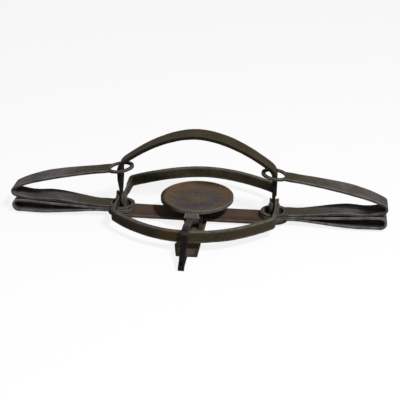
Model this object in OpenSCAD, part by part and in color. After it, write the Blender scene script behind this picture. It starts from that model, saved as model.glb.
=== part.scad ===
// Hand-forged leghold trap with two lying jaws, a standing bow and double long springs.
// Millimetres. X runs along the base bar, Y to the back, Z up.
// The origin is on the ground, under the middle of the base bar.

/* [Base] */
// Distance between the two hinge posts
post_spacing = 243; // [225:1:260]
// Width of the base bar
bar_width = 42; // [36:1:43]
// Thickness of the base bar
bar_thickness = 5; // [4:0.5:7]
// Radius of the round pads at the ends of the base bar
pad_radius = 22; // [21.5:0.5:25]
// Distance of the cross bar's straight right edge from the middle
cross_right = 16.8; // [15:0.1:20]
// Distance of the cross bar's left edge from the middle
cross_left = 16; // [14:0.1:20]
// Distance of the bulge in the left edge from the middle, under the lying jaw
cross_bulge = 22; // [20:0.1:26]
// Thickness of the cross bar
cross_thickness = 5; // [4:0.5:7]
// Reach of the cross bar in front of the base bar's centre line
cross_front = 133; // [130:1:140]
// Reach of the cross bar behind the base bar's centre line
cross_back = 34; // [30:1:45]
// Shank radius of the base rivets
rivet_r = 3.2; // [2.5:0.1:4]

/* [Hinge posts] */
// Thickness of each ear of a post
ear_thickness = 2.4; // [2:0.1:3.5]
// Width of each ear, front to back
ear_width = 12; // [10:0.5:13]
// Height of the ears' straight sides above the hinge axis
ear_rise = 7; // [2:0.5:8]
// Thickness of a post's floor
post_floor = 3; // [2:0.5:4]
// Radius of the hinge pins
hinge_pin_r = 3; // [2.5:0.1:3.5]
// Radial clearance of a bore that turns on its pin
running_gap = 0.08; // [0.02:0.01:0.1]
// Gap between neighbouring feet on a hinge pin
foot_gap = 0.3; // [0.2:0.05:0.5]

/* [Jaws] */
// Reach of a lying jaw from its hinge to its outer face
jaw_reach = 125.5; // [122:0.1:129]
// Width of a jaw's strip over the arch
jaw_width = 17; // [15:0.5:18]
// Width of a jaw's leg at the hinge
leg_width = 12.8; // [11:0.1:14]
// Thickness of the strip over the arch
jaw_thickness = 6.2; // [5:0.1:8]
// Thickness of a foot, where three feet lie side by side
foot_thickness = 2.8; // [2.4:0.1:3.2]
// Thickness of a jaw's leg above its foot
leg_thickness = 5; // [4:0.1:5.6]
// Reach over which a foot keeps its thickness
foot_reach = 33; // [32:0.5:35]
// Reach over which a jaw's leg runs straight from its hinge
leg_straight = 46; // [43:1:48]
// Reach of the front jaw's shoulders, where a leg meets the arch
front_shoulder = 63; // [59:0.5:67]
// Half width of the front jaw over its shoulders
front_half_span = 126; // [123:0.1:128]
// Reach of the back jaw's shoulders
back_shoulder = 73; // [67:0.5:77]
// Half width of the back jaw over its shoulders
back_half_span = 120.1; // [117:0.1:122]

/* [Standing bow] */
// Reach of the standing bow from its hinge to its outer face
bow_reach = 118; // [115:0.5:124]
// Reach of the standing bow's shoulders
bow_shoulder = 66.5; // [63:0.5:70]
// Half width of the standing bow over its shoulders
bow_half_span = 119.2; // [116:0.1:122]
// Width of the standing bow over its arch
bow_width = 31.5; // [26:0.5:33]
// Width of the standing bow's legs
bow_leg_width = 18; // [15:0.5:19]
// Reach over which the standing bow's legs run straight
bow_leg_straight = 56; // [52:0.5:58]

/* [Springs] */
// Reach of the spring bends from the middle of the trap
spring_reach = 297.4; // [280:0.1:315]
// Thickness of a leaf at its eye
leaf_thickness = 3.2; // [2.6:0.1:3.4]
// Thickness that a leaf gains towards its bend
leaf_swell = 0.8; // [0:0.1:1]
// Width of a leaf beside its eye
leaf_neck_width = 26.5; // [20:0.5:29]
// Width of a leaf at its widest, before the bend
leaf_belly_width = 35; // [28:0.5:40]
// Width of a leaf at the bend
leaf_bend_width = 31; // [26:0.5:36]
// Outer radius of the eyes
eye_outer_r = 21.3; // [20:0.1:21.5]
// Radius of the hole in the eyes
eye_hole_r = 15.5; // [15:0.1:16]
// Radius of the lower bend at the middle of the leaf
lower_bend_r = 8.4; // [7.8:0.1:9.2]
// Radius of the upper bend at the middle of the leaf
upper_bend_r = 8.2; // [7.5:0.1:9]
// Height of the centre of the lower bend
lower_bend_height = 14; // [13:0.1:15]
// Height of the centre of the upper bend
upper_bend_height = 38.2; // [37:0.1:41]
// Height of the raised eye round the standing bow
raised_eye_height = 81.5; // [76:0.5:84]
// Gap between the two halves of a bend where they lap
lap_gap = 0.1; // [0.05:0.01:0.3]

/* [Pan] */
// Radius of the pan
pan_r = 57.7; // [50:0.1:60]
// Height of the pan's rim
pan_height = 40; // [38:0.5:44]
// Depth of the pan's dish
pan_depth = 6.5; // [4:0.5:8]
// Thickness of the pan's sheet
pan_sheet = 2.2; // [1.6:0.1:3]
// Depth of the lip round the pan's rim
pan_lip = 5; // [3:0.1:6]
// Radius of the pan's flat floor
pan_floor_r = 30; // [26:1:36]
// Distance of the pan's hinge in front of the base bar's centre line
pan_hinge_y = 50; // [47:0.5:52]
// Height of the pan's hinge
pan_hinge_z = 20; // [19:0.5:21]
// Radius of the pan's hinge pin
pan_pin_r = 2.5; // [2:0.1:3]
// Thickness of the pan's stem
stem_thickness = 4; // [3:0.1:4.5]
// Width of the stem under the pan
stem_width = 18; // [14:0.5:20]

/* [Dog] */
// Distance of the dog's hinge in front of the base bar's centre line
dog_hinge_y = 177; // [172:0.5:182]
// Height of the dog's hinge above the ground
dog_hinge_z = 4.6; // [4.4:0.1:5]
// Offset of the dog to the left of the middle
dog_offset = 1.5; // [0:0.1:3]
// Thickness of the dog's bar
dog_thickness = 5; // [4:0.1:6]
// Width of the dog's bar at the hinge
dog_foot_width = 8.6; // [8:0.1:10]
// Width of the dog's bar over the jaw
dog_width = 11; // [9:0.1:13]
// Gap between the lying jaw and the dog above it
dog_jaw_gap = 2.4; // [2.2:0.1:3]
// Radius of the dog's hinge pin
dog_pin_r = 1.8; // [1.5:0.1:2.2]

/* [Hidden] */
$fn = 64;

// Colours of worn and rusted iron
forged_dark = [0.17, 0.16, 0.14];
spring_grey = [0.27, 0.25, 0.23];
rust_brown = [0.33, 0.23, 0.18];
pan_brown = [0.36, 0.31, 0.28];
dog_black = [0.10, 0.10, 0.10];

// Clearances and small trim
seat_gap = 0.05;
stack_gap = 0.2;
swing_gap = 0.3;
rivet_head_r = 5.2;
rivet_head_h = 2.2;
over = 1;

// Heights of the base and of the stacked eyes
bar_top = cross_thickness + bar_thickness;
post_x = post_spacing / 2;
bottom_eye_z = bar_top + stack_gap + leaf_thickness / 2;
second_eye_z = bottom_eye_z + leaf_thickness + stack_gap;
third_eye_gap = 0.6;
third_eye_z = second_eye_z + leaf_thickness + third_eye_gap;

// Half width of a lying jaw's leg where it crosses the front of an eye
leg_growth = (jaw_width - leg_width) / 2 / front_shoulder;
leg_half_at_eye = leg_width / 2 + leg_growth * eye_outer_r;

// Hinge axis of the jaws and of the standing bow
pivot_z = third_eye_z + leaf_thickness / 2 + swing_gap + leg_half_at_eye;
foot_pitch = foot_thickness + foot_gap;
ear_inner = 1.5 * foot_thickness + 2 * foot_gap;
ear_outer = ear_inner + ear_thickness;
pin_head_r = hinge_pin_r + 1.2;
pin_head_h = 1.4;
post_head_r = min(rivet_head_r, ear_inner - foot_gap);

// Curves of the arches: 2 is a parabola, more is fuller at the shoulders
front_arch_power = 2.1;
back_arch_power = 1.82;
bow_arch_power = 1.83;
arch_steps = 36;
foot_taper = 7;

// Bends of the springs
bend_thickness = leaf_thickness + leaf_swell;
lower_bend = [spring_reach - lower_bend_r - bend_thickness / 2, lower_bend_height];
upper_bend = [spring_reach - upper_bend_r - bend_thickness / 2, upper_bend_height];
neck_x = post_x + eye_outer_r;
belly_x = 238;
swell_length = 80;
lap_play = 9;
curve_steps = 14;
bend_steps = 14;

// Heights of the pan and of the dog
pan_floor_z = pan_height - pan_depth;
pan_bottom_z = pan_floor_z - pan_sheet;
barrel_r = pan_pin_r + 3;
barrel_half = stem_width / 2;
bracket_floor = 3;
bracket_ear = 3.6;
bracket_ear_inner = barrel_half + swing_gap;
bracket_ear_outer = bracket_ear_inner + bracket_ear;
bracket_half_y = 12;
bracket_ear_half = 6;
pan_rivet_r = 2.4;
arm_top = pan_hinge_z + barrel_r;
arm_width = 9;
arm_reach = 17;
tab_thickness = 3;
tab_base_width = 24.5;
tab_top_width = 17.6;
tab_flare_z = arm_top + 7.5;
tab_top_z = pan_height - 1.5;
tab_lean = 4.2;
tab_front = pan_hinge_y + arm_reach + 2 + tab_thickness / 2;
tip_gap = 0.8;
dog_arm_z = pivot_z + jaw_width / 2 + dog_jaw_gap + dog_thickness / 2;
dog_bend_y = jaw_reach + 9;
dog_neck_y = jaw_reach - jaw_thickness - 4;
dog_tip_z = tab_flare_z - 2.4;
dog_tip_y = tab_front + tip_gap;
dog_slot = 3.8;
tongue_eye_half = dog_slot / 2 - swing_gap;
tongue_half = 3.4;
dog_crotch_r = 7.4;
dog_eye_r = dog_hinge_z - 0.3;

// Point on a cubic curve with four control points
function cubic(p, t) =
    pow(1 - t, 3) * p[0] + 3 * t * pow(1 - t, 2) * p[1] + 3 * t * t * (1 - t) * p[2] + pow(t, 3) * p[3];

// Unit direction of a path at one of its points
function heading(path, i) =
    let (a = path[max(i - 1, 0)], b = path[min(i + 1, len(path) - 1)]) (b - a) / norm(b - a);

// Direction turned a quarter turn to the left
function to_left(v) = [-v[1], v[0]];

// Outline of a strip of even thickness along a path
function strip(path, thickness) = concat(
    [for (i = [0 : len(path) - 1]) path[i] + thickness / 2 * to_left(heading(path, i))],
    [for (i = [len(path) - 1 : -1 : 0]) path[i] - thickness / 2 * to_left(heading(path, i))]
);

// Outline of a leaf along its middle line, thicker towards the bend
function leaf_half(p) = (leaf_thickness + leaf_swell * min(max((p[0] - neck_x) / swell_length, 0), 1)) / 2;
function leaf_strip(path) = concat(
    [for (i = [0 : len(path) - 1]) path[i] + leaf_half(path[i]) * to_left(heading(path, i))],
    [for (i = [len(path) - 1 : -1 : 0]) path[i] - leaf_half(path[i]) * to_left(heading(path, i))]
);

// Points of an arc
function arc(centre, r, from, to, steps) =
    [for (i = [0 : steps]) let (a = from + (to - from) * i / steps) centre + r * [cos(a), sin(a)]];

// Middle line of a leaf, from its eye, along a smooth curve and round the bend
function leaf_path(eye_z, eye_slope, eye_pull, bend, r, from, to, pull) =
    let (
        out = [cos(eye_slope), -sin(eye_slope)],
        start = [neck_x, eye_z - eye_outer_r * tan(eye_slope)],
        turn = sign(to - from),
        end = bend + r * [cos(from), sin(from)],
        inward = turn * [sin(from), -cos(from)],
        curve = [start, start + eye_pull * out, end + pull * inward, end]
    )
    concat(
        [start - 2 * (eye_outer_r + over) * out],
        [for (i = [0 : curve_steps - 1]) cubic(curve, i / curve_steps)],
        arc(bend, r, from, to, bend_steps)
    );

// A flat outline in X and Z, given depth in Y
module across(depth) {
    rotate([90, 0, 0]) linear_extrude(height = depth, center = true) children();
}

// A flat outline in Y and Z, given width in X
module along_x(width) {
    rotate([90, 0, 90]) linear_extrude(height = width, center = true) children();
}

// A round rod or bore along X
module rod_x(r, length) {
    rotate([0, 90, 0]) cylinder(r = r, h = length, center = true);
}

// Domed rivet head on the plane z = 0
module rivet_head(r, h) {
    ball = (r * r + h * h) / (2 * h);
    intersection() {
        translate([0, 0, h - ball]) sphere(r = ball);
        cylinder(r = r, h = h);
    }
}

// Rivet with its shank from one height to another and a head on top
module rivet(r, from, to, head_r, head_h) {
    translate([0, 0, from]) cylinder(r = r, h = to - from);
    translate([0, 0, to]) rivet_head(head_r, head_h);
}

// Pin along X with a peened head at both ends
module headed_pin(r, grip, head_r, head_h) {
    rod_x(r, grip);
    for (side = [-1, 1])
        translate([side * (grip + head_h) / 2, 0, 0]) rod_x(head_r, head_h);
}

// Sector of a ring in the X and Z plane, as a cut through the whole width of a leaf
module bend_cut(centre, r_in, r_out, from, to) {
    far = 2 * r_out;
    middle = (from + to) / 2;
    translate([centre[0], 0, centre[1]]) across(2 * leaf_bend_width) intersection() {
        difference() {
            circle(r = r_out);
            if (r_in > 0) circle(r = r_in);
        }
        polygon(concat([[0, 0]], [for (a = [from, (from + middle) / 2, middle, (to + middle) / 2, to])
            far * [cos(a), sin(a)]]));
    }
}

// Plan of a leaf: an eye with its hole, widening towards the bend
module leaf_plan() {
    difference() {
        union() {
            translate([post_x, 0]) circle(r = eye_outer_r);
            polygon([
                [post_x, -leaf_neck_width / 2],
                [neck_x + eye_outer_r, -leaf_neck_width / 2],
                [belly_x, -leaf_belly_width / 2],
                [lower_bend[0], -leaf_bend_width / 2],
                [spring_reach + over, -leaf_bend_width / 2],
                [spring_reach + over, leaf_bend_width / 2],
                [lower_bend[0], leaf_bend_width / 2],
                [belly_x, leaf_belly_width / 2],
                [neck_x + eye_outer_r, leaf_neck_width / 2],
                [post_x, leaf_neck_width / 2]
            ]);
        }
        translate([post_x, 0]) circle(r = eye_hole_r);
    }
}

// A leaf on the right-hand side, from its middle line
module leaf(path) {
    intersection() {
        across(2 * leaf_bend_width) polygon(leaf_strip(path));
        translate([0, 0, -over]) linear_extrude(height = 2 * raised_eye_height) leaf_plan();
    }
}

// Where the leaves of the lower spring turn into the bend, and the raised ones of the upper spring
lower_bottom_angle = -90;
lower_top_angle = 82;
upper_bottom_angle = -96;
upper_top_angle = 62;

// Bottom leaf of a bend: it keeps the inner half of the lap
module bottom_leaf(path, bend, r, from, to) {
    difference() {
        leaf(path);
        bend_cut(bend, r - lap_gap / 2, r + leaf_thickness, from, to + 2 * lap_play);
    }
}

// Top leaf of a bend: it keeps the outer half of the lap
module top_leaf(path, bend, r, from, to) {
    difference() {
        leaf(path);
        bend_cut(bend, 0, r + lap_gap / 2, from - 2 * lap_play, to);
    }
}

module lower_spring_bottom_leaf() {
    path = leaf_path(bottom_eye_z, 0, 40, lower_bend, lower_bend_r,
        lower_bottom_angle, lower_top_angle - lap_play, 70);
    bottom_leaf(path, lower_bend, lower_bend_r, lower_bottom_angle, lower_top_angle);
}

module lower_spring_top_leaf() {
    path = leaf_path(second_eye_z, 0, 46, lower_bend, lower_bend_r,
        lower_top_angle, lower_bottom_angle + lap_play, 50);
    top_leaf(path, lower_bend, lower_bend_r, lower_bottom_angle, lower_top_angle);
}

module upper_spring_bottom_leaf() {
    path = leaf_path(third_eye_z, 0, 40, upper_bend, upper_bend_r,
        upper_bottom_angle, upper_top_angle - lap_play, 52);
    bottom_leaf(path, upper_bend, upper_bend_r, upper_bottom_angle, upper_top_angle);
}

module upper_spring_top_leaf() {
    path = leaf_path(raised_eye_height, 8, 64, upper_bend, upper_bend_r,
        upper_top_angle, upper_bottom_angle + lap_play, 40);
    top_leaf(path, upper_bend, upper_bend_r, upper_bottom_angle, upper_top_angle);
}

// Outer line of an arch between its two shoulders
function arch_line(reach, half_span, shoulder, power) = [
    for (i = [-arch_steps : arch_steps])
        [half_span * i / arch_steps, reach - (reach - shoulder) * pow(abs(i) / arch_steps, power)]
];

// Bow standing on its hinge at the origin: two legs and an arch between the shoulders
module bow(reach, arch_width, foot_width, foot_x, half_span, shoulder, power, leg, straight, full_width_at) {
    outer = arch_line(reach, half_span, shoulder, power);
    inner = [for (i = [0 : len(outer) - 1]) outer[i] - jaw_thickness * to_left(heading(outer, i))];
    last = len(outer) - 1;
    root = (outer[last - 2] + inner[last - 2]) / 2;
    difference() {
        intersection() {
            union() {
                across(2 * arch_width) polygon(concat(outer, [for (i = [last : -1 : 0]) inner[i]]));
                for (side = [0, 1]) mirror([side, 0, 0]) across(2 * arch_width) polygon([
                    [foot_x - foot_thickness / 2, -foot_width / 2],
                    [foot_x + foot_thickness / 2, -foot_width / 2],
                    [foot_x + foot_thickness / 2, foot_reach],
                    [foot_x + leg / 2, foot_reach + foot_taper],
                    [foot_x + leg / 2, straight],
                    outer[last], root, inner[last],
                    [foot_x - leg / 2, straight],
                    [foot_x - leg / 2, foot_reach + foot_taper],
                    [foot_x - foot_thickness / 2, foot_reach]
                ]);
            }
            along_x(3 * half_span) union() {
                circle(r = foot_width / 2);
                polygon([
                    [-foot_width / 2, 0], [foot_width / 2, 0],
                    [arch_width / 2, full_width_at], [arch_width / 2, reach + over],
                    [-arch_width / 2, reach + over], [-arch_width / 2, full_width_at]
                ]);
            }
        }
        for (side = [-1, 1])
            translate([side * foot_x, 0, 0]) rod_x(hinge_pin_r + running_gap, foot_thickness + 2 * over);
    }
}

module front_jaw() {
    color(forged_dark)
        translate([0, 0, pivot_z]) rotate([90, 0, 0])
            bow(jaw_reach, jaw_width, leg_width, post_x + foot_pitch, front_half_span, front_shoulder,
                front_arch_power, leg_thickness, leg_straight, front_shoulder);
}

module back_jaw() {
    color(forged_dark)
        translate([0, 0, pivot_z]) rotate([-90, 0, 0])
            bow(jaw_reach, jaw_width, leg_width, post_x - foot_pitch, back_half_span, back_shoulder,
                back_arch_power, leg_thickness, leg_straight, front_shoulder);
}

module standing_bow() {
    color(forged_dark)
        translate([0, 0, pivot_z])
            bow(bow_reach, bow_width, bow_leg_width, post_x, bow_half_span, bow_shoulder,
                bow_arch_power, jaw_thickness, bow_leg_straight, bow_reach);
}

// Places of the two rivets that join the bars, and of those in the pan's bracket
cross_rivet_y = [-10, 10];
bracket_rivet_y = [-pan_hinge_y - 7, -pan_hinge_y + 7];
bulge_y = -102;

module base_bar() {
    color(rust_brown) translate([0, 0, cross_thickness]) linear_extrude(height = bar_thickness)
        difference() {
            union() {
                square([2 * post_x, bar_width], center = true);
                for (side = [-1, 1]) translate([side * post_x, 0]) circle(r = pad_radius);
            }
            for (side = [-1, 1]) translate([side * post_x, 0]) circle(r = rivet_r + seat_gap);
            for (y = cross_rivet_y) translate([0, y]) circle(r = rivet_r + seat_gap);
        }
}

module cross_bar() {
    color(rust_brown) difference() {
        union() {
            linear_extrude(height = cross_thickness) polygon([
                [-cross_left, cross_back], [-cross_left, bulge_y + 16], [-cross_bulge, bulge_y],
                [-cross_left, -cross_front], [cross_right, -cross_front], [cross_right, cross_back]
            ]);
            translate([-dog_offset - tongue_half, -dog_hinge_y + dog_crotch_r, 0])
                cube([2 * tongue_half, dog_hinge_y - dog_crotch_r - cross_front + over, cross_thickness]);
            translate([-dog_offset - tongue_eye_half, -dog_hinge_y, 0])
                cube([2 * tongue_eye_half, dog_crotch_r + over, cross_thickness]);
            translate([-dog_offset, -dog_hinge_y, dog_hinge_z]) rod_x(dog_eye_r, 2 * tongue_eye_half);
        }
        translate([-dog_offset, -dog_hinge_y, dog_hinge_z])
            rod_x(dog_pin_r + seat_gap, 2 * tongue_half + over);
        for (y = concat(cross_rivet_y, bracket_rivet_y))
            translate([0, y, -over]) cylinder(r = rivet_r + seat_gap, h = cross_thickness + 2 * over);
    }
}

module cross_rivets() {
    color(rust_brown) for (y = cross_rivet_y)
        translate([0, y, 0]) rivet(rivet_r, seat_gap, bar_top, rivet_head_r, rivet_head_h);
}

// Post with two ears that hold three feet side by side
module jaw_post(side) {
    color(forged_dark) translate([side * post_x, 0, 0]) difference() {
        union() {
            translate([-ear_outer, -ear_width / 2, bar_top]) cube([2 * ear_outer, ear_width, post_floor]);
            for (ear = [-1, 1])
                translate([ear * (ear_inner + ear_thickness / 2), 0, 0]) along_x(ear_thickness) union() {
                    translate([-ear_width / 2, bar_top]) square([ear_width, pivot_z + ear_rise - bar_top]);
                    translate([0, pivot_z + ear_rise]) circle(r = ear_width / 2);
                }
        }
        translate([0, 0, pivot_z]) rod_x(hinge_pin_r + seat_gap, 2 * ear_outer + over);
        translate([0, 0, bar_top - over]) cylinder(r = rivet_r + seat_gap, h = post_floor + 2 * over);
    }
}

module left_jaw_post() { jaw_post(-1); }
module right_jaw_post() { jaw_post(1); }

module post_rivets() {
    color(rust_brown) for (side = [-1, 1]) translate([side * post_x, 0, 0]) {
        rivet(rivet_r, cross_thickness, bar_top + post_floor, post_head_r, rivet_head_h);
        translate([0, 0, cross_thickness]) mirror([0, 0, 1]) rivet_head(rivet_head_r, rivet_head_h);
    }
}

module hinge_pin(side) {
    color(forged_dark) translate([side * post_x, 0, pivot_z])
        headed_pin(hinge_pin_r, 2 * (ear_outer + seat_gap), pin_head_r, pin_head_h);
}

module left_hinge_pin() { hinge_pin(-1); }
module right_hinge_pin() { hinge_pin(1); }

module left_lower_spring_bottom_leaf() { color(spring_grey) mirror([1, 0, 0]) lower_spring_bottom_leaf(); }
module right_lower_spring_bottom_leaf() { color(spring_grey) lower_spring_bottom_leaf(); }
module left_lower_spring_top_leaf() { color(spring_grey) mirror([1, 0, 0]) lower_spring_top_leaf(); }
module right_lower_spring_top_leaf() { color(spring_grey) lower_spring_top_leaf(); }
module left_upper_spring_bottom_leaf() { color(spring_grey) mirror([1, 0, 0]) upper_spring_bottom_leaf(); }
module right_upper_spring_bottom_leaf() { color(spring_grey) upper_spring_bottom_leaf(); }
module left_upper_spring_top_leaf() { color(spring_grey) mirror([1, 0, 0]) upper_spring_top_leaf(); }
module right_upper_spring_top_leaf() { color(spring_grey) upper_spring_top_leaf(); }

module pan_bracket() {
    color(rust_brown) translate([0, -pan_hinge_y, 0]) difference() {
        union() {
            translate([-bracket_ear_outer, -bracket_half_y, cross_thickness])
                cube([2 * bracket_ear_outer, 2 * bracket_half_y, bracket_floor]);
            for (ear = [-1, 1])
                translate([ear * (bracket_ear_inner + bracket_ear / 2), 0, 0])
                    along_x(bracket_ear) union() {
                        translate([-bracket_ear_half, cross_thickness])
                            square([2 * bracket_ear_half, pan_hinge_z - cross_thickness]);
                        translate([0, pan_hinge_z]) circle(r = bracket_ear_half);
                    }
        }
        translate([0, 0, pan_hinge_z]) rod_x(pan_pin_r + seat_gap, 2 * bracket_ear_outer + over);
        for (y = bracket_rivet_y)
            translate([0, y + pan_hinge_y, 0])
                cylinder(r = rivet_r + seat_gap, h = cross_thickness + bracket_floor + over);
    }
}

module bracket_rivets() {
    color(rust_brown) for (y = bracket_rivet_y)
        translate([0, y, 0])
            rivet(rivet_r, seat_gap, cross_thickness + bracket_floor, rivet_head_r, rivet_head_h);
}

module pan_pin() {
    color(forged_dark) translate([0, -pan_hinge_y, pan_hinge_z])
        headed_pin(pan_pin_r, 2 * (bracket_ear_outer + seat_gap), pan_pin_r + 1.2, pin_head_h);
}

// Places of the rivets that hold the dish on its stem
pan_rivet_y = [-16, 14];
dish_steps = 10;

// Rise of the dish's wall above its floor
function dish_rise(r) = pan_depth * pow((r - pan_floor_r) / (pan_r - pan_floor_r), 1.6);

module pan_dish() {
    wall = [for (i = [0 : dish_steps]) let (r = pan_floor_r + (pan_r - pan_floor_r) * i / dish_steps)
        [r, pan_floor_z + dish_rise(r)]];
    under = [for (i = [dish_steps : -1 : 0]) wall[i] - [0, pan_sheet]];
    color(pan_brown) difference() {
        union() {
            rotate_extrude($fn = 96) polygon(concat([[0, pan_floor_z]], wall, under, [[0, pan_bottom_z]]));
            rotate_extrude($fn = 96) translate([pan_r - pan_sheet, pan_height - pan_lip])
                square([pan_sheet, pan_lip]);
        }
        for (y = pan_rivet_y)
            translate([0, y, pan_bottom_z - over])
                cylinder(r = pan_rivet_r + seat_gap, h = pan_sheet + 2 * over);
    }
}

stem_back = 24;
stem_drop_y = -28;
tab_rivet_y = -pan_hinge_y - arm_reach + 6;
tab_rivet_r = 1.8;

module pan_stem() {
    strap_z = pan_bottom_z - stem_thickness / 2;
    color(pan_brown) difference() {
        union() {
            along_x(stem_width) polygon(strip([
                [stem_back, strap_z], [stem_drop_y, strap_z], [-pan_hinge_y, pan_hinge_z + 1]
            ], stem_thickness));
            translate([0, -pan_hinge_y, pan_hinge_z]) rod_x(barrel_r, 2 * barrel_half);
            translate([-arm_width / 2, -pan_hinge_y - arm_reach, arm_top - stem_thickness])
                cube([arm_width, arm_reach, stem_thickness]);
        }
        translate([0, -pan_hinge_y, pan_hinge_z]) rod_x(pan_pin_r + running_gap, 2 * barrel_half + over);
        for (y = pan_rivet_y)
            translate([0, y, strap_z - stem_thickness])
                cylinder(r = pan_rivet_r + seat_gap, h = 2 * stem_thickness);
        translate([0, tab_rivet_y, arm_top - 2 * stem_thickness])
            cylinder(r = tab_rivet_r + seat_gap, h = 3 * stem_thickness);
    }
}

module pan_rivets() {
    color(pan_brown) for (y = pan_rivet_y)
        translate([0, y, 0])
            rivet(pan_rivet_r, pan_bottom_z - stem_thickness, pan_floor_z, pan_rivet_r + 1.8, 1.4);
}

// Flared plate in front of the pan, over the end of the dog
module catch_tab() {
    foot_z = arm_top + tab_thickness / 2;
    front_y = -tab_front + tab_thickness / 2;
    color(pan_brown) difference() {
        intersection() {
            along_x(2 * tab_base_width) polygon(strip([
                [-pan_hinge_y - arm_reach + 11, foot_z], [front_y + 1, foot_z],
                [front_y, tab_flare_z], [front_y + tab_lean, tab_top_z]
            ], tab_thickness));
            across(4 * pan_r) polygon([
                [-arm_width / 2, 0], [arm_width / 2, 0],
                [arm_width / 2, tab_flare_z - 1.5], [tab_base_width / 2, tab_flare_z],
                [tab_top_width / 2, tab_top_z + tab_thickness],
                [-tab_top_width / 2, tab_top_z + tab_thickness],
                [-tab_base_width / 2, tab_flare_z], [-arm_width / 2, tab_flare_z - 1.5]
            ]);
        }
        translate([0, tab_rivet_y, arm_top - over])
            cylinder(r = tab_rivet_r + seat_gap, h = tab_thickness + 2 * over);
    }
}

module tab_rivet() {
    color(pan_brown) translate([0, tab_rivet_y, 0])
        rivet(tab_rivet_r, arm_top - stem_thickness, arm_top + tab_thickness, tab_rivet_r + 1.3, 1.2);
}

// Bent bar hinged on the tongue, over the front jaw, sloping down to its end before the catch
module dog() {
    foot = [-dog_hinge_y, dog_hinge_z];
    bend = [-dog_bend_y, dog_arm_z];
    neck = [-dog_neck_y, dog_arm_z];
    tip = [-dog_tip_y, dog_tip_z];
    color(dog_black) translate([-dog_offset, 0, 0]) difference() {
        union() {
            intersection() {
                along_x(2 * dog_width) polygon(strip([foot, bend, neck, tip], dog_thickness));
                linear_extrude(height = 2 * pan_height) polygon([
                    [-dog_foot_width / 2, -dog_hinge_y - dog_thickness],
                    [dog_foot_width / 2, -dog_hinge_y - dog_thickness],
                    [dog_foot_width / 2, -dog_hinge_y + dog_crotch_r],
                    [dog_width / 2, -dog_bend_y], [dog_width / 2, neck[0]], [arm_width / 2, 0],
                    [-arm_width / 2, 0], [-dog_width / 2, neck[0]], [-dog_width / 2, -dog_bend_y],
                    [-dog_foot_width / 2, -dog_hinge_y + dog_crotch_r]
                ]);
            }
            translate([0, foot[0], foot[1]]) rod_x(dog_eye_r, dog_foot_width);
        }
        translate([0, foot[0], foot[1]]) rod_x(dog_crotch_r, dog_slot);
        translate([0, foot[0], foot[1]]) rod_x(dog_pin_r + running_gap, 2 * dog_width);
    }
}

module dog_pin() {
    color(dog_black) translate([-dog_offset, -dog_hinge_y, dog_hinge_z]) rod_x(dog_pin_r, dog_foot_width);
}

base_bar();
cross_bar();
cross_rivets();
left_jaw_post();
right_jaw_post();
post_rivets();
left_hinge_pin();
right_hinge_pin();
front_jaw();
back_jaw();
standing_bow();
left_lower_spring_bottom_leaf();
right_lower_spring_bottom_leaf();
left_lower_spring_top_leaf();
right_lower_spring_top_leaf();
left_upper_spring_bottom_leaf();
right_upper_spring_bottom_leaf();
left_upper_spring_top_leaf();
right_upper_spring_top_leaf();
pan_bracket();
bracket_rivets();
pan_pin();
pan_dish();
pan_stem();
pan_rivets();
catch_tab();
tab_rivet();
dog();
dog_pin();
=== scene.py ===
"""Looks of a hand-forged leghold trap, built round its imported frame."""

import math

import bmesh
import bpy
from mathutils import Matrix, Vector, noise
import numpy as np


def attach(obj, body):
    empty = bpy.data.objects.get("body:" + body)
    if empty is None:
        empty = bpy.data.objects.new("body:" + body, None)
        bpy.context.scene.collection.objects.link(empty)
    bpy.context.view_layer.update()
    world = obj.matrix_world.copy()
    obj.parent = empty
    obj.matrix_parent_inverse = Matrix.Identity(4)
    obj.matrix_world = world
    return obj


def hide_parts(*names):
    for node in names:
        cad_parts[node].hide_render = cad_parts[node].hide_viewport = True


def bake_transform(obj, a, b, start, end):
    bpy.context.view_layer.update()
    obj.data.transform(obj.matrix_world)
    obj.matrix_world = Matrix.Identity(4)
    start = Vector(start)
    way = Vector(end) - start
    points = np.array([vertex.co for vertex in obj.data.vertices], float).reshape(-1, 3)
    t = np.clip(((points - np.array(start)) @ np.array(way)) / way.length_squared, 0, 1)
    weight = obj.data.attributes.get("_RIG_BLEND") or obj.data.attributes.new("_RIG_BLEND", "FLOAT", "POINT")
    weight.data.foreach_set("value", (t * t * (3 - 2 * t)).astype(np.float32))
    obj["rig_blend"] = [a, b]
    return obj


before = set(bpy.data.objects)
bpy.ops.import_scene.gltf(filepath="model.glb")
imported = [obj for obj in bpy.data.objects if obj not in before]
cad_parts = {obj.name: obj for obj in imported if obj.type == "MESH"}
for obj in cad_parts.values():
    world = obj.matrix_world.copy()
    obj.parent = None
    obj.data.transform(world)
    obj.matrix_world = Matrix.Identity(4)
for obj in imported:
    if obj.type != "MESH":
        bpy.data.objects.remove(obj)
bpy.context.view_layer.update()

# Shapes are worked out in millimetres and stored in metres.
MM = 0.001
X = Vector((1, 0, 0))
Y = Vector((0, 1, 0))
Z = Vector((0, 0, 1))

# Base bar and cross bar
POST_X = 121.5
BAR_WIDTH = 44.6
BAR_THICKNESS = 5
BAR_CORNER = 1.0
BAR_DENT = 0.28
BAR_DENT_SIZE = 18
BAR_SWAY = 0.5
PAD_RADIUS = 22
CROSS_RIGHT = 16.8
CROSS_LEFT = 16
CROSS_BULGE = 22
BULGE_Y = -102
BULGE_FADE = 16
CROSS_THICKNESS = 5
CROSS_CORNER = 0.9
CROSS_DENT = 0.22
CROSS_SWAY = 0.4
CROSS_FRONT = -133
CROSS_BACK = 34
# Stations of the tongue before the cross bar: Y and half width
TONGUE = ((-133.5, 3.8), (-134.5, 3.4), (-145, 3.35), (-157, 3.35), (-168.6, 3.35), (-169.4, 3.0))
TONGUE_CORNER = 0.7

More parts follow.
